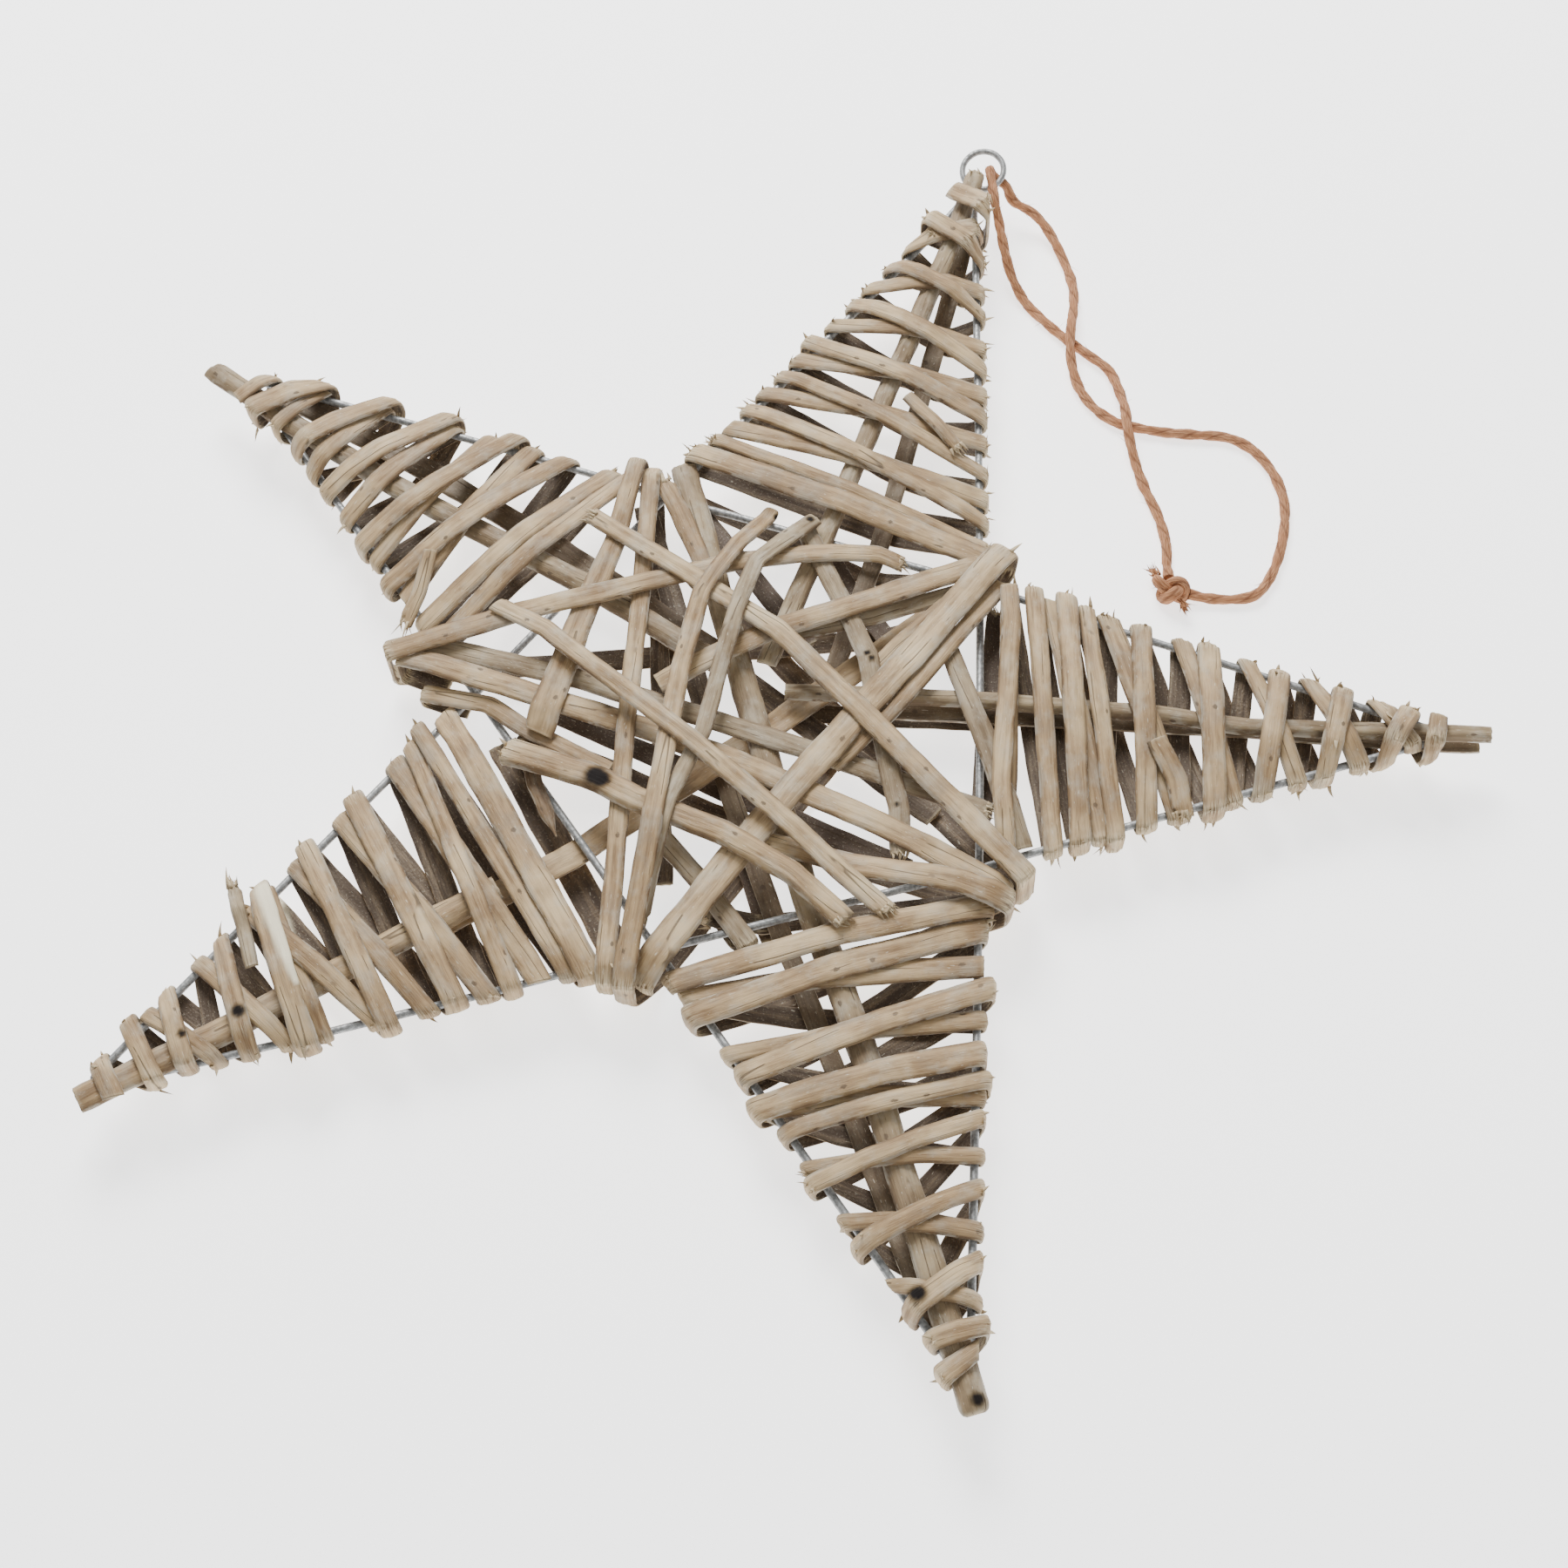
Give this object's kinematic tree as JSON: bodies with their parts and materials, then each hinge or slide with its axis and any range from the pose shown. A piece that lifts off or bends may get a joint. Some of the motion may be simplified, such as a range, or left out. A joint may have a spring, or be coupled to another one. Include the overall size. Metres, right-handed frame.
{
  "type": "wicker star decoration",
  "caption": "Five-pointed star of bent wire wound with split willow, rods and loose strips crossed over its middle, with a small ring and a knotted twine loop to hang it by.",
  "frame": {"origin": "middle of the star's outline in plan, at the level its back rests on, without the twine", "axes": "+Z out of the star's front, +Y towards the arm that carries the ring"},
  "size_m": [0.418, 0.4096, 0.0322],
  "materials": {
    "galvanised_wire": "dull galvanised",
    "willow_rod": "dry, matt, weathered",
    "willow_strip": "dry, matt, whitewashed",
    "twine": "two-ply twisted"
  },
  "bodies": {
    "root": {"wire_frame": "galvanised_wire", "hanging_ring": "galvanised_wire", "arm_3_front_rod": "willow_rod", "arm_4_front_rod": "willow_rod", "arm_1_front_rod": "willow_rod", "arm_5_front_rod": "willow_rod", "arm_2_front_rod": "willow_rod", "arm_3_back_rod": "willow_rod", "arm_1_back_rod": "willow_rod", "arm_2_back_rod": "willow_rod", "arm_4_back_rod": "willow_rod", "arm_5_back_rod": "willow_rod", "arm_1_first_winding": "willow_strip", "arm_2_first_winding": "willow_strip", "arm_3_first_winding": "willow_strip", "arm_4_first_winding": "willow_strip", "arm_5_first_winding": "willow_strip", "arm_1_second_winding": "willow_strip", "arm_2_second_winding": "willow_strip", "arm_3_second_winding": "willow_strip", "arm_4_second_winding": "willow_strip", "arm_5_second_winding": "willow_strip", "arm_1_broken_strip": "willow_strip", "arm_2_cut_end": "willow_strip", "arm_3_cut_end": "willow_strip", "arm_5_cut_end": "willow_strip", "back_strip_right": "willow_strip", "back_strip_lower_right": "willow_strip", "back_strip_middle": "willow_strip", "back_strip_low": "willow_strip", "back_strip_rising": "willow_strip", "back_strip_top": "willow_strip", "back_strip_top_left": "willow_strip", "back_strip_left": "willow_strip", "back_strip_lower_middle": "willow_strip", "edge_strip_lower_left": "willow_strip", "edge_strip_bottom": "willow_strip", "cross_strip_low": "willow_strip", "fan_strip_right_inner": "willow_strip", "fan_strip_right_short": "willow_strip", "cracked_strip": "willow_strip", "edge_strip_right_short": "willow_strip", "fan_strip_left_low": "willow_strip", "long_strip_right": "willow_strip", "cross_strip_middle": "willow_strip", "fan_strip_left_short": "willow_strip", "long_strip_left": "willow_strip", "upright_strip_left": "willow_strip", "rising_strip_left": "willow_strip", "fan_strip_right_outer": "willow_strip", "edge_strip_right": "willow_strip", "edge_strip_lower_right": "willow_strip", "wide_strip_right": "willow_strip", "thick_rod_end": "willow_rod", "long_strip_top": "willow_strip", "upright_strip_right": "willow_strip", "kinked_strip": "willow_strip", "slanting_strip_top": "willow_strip", "twine_loop": "twine", "twine_knot": "twine"}
  },
  "joints": []
}
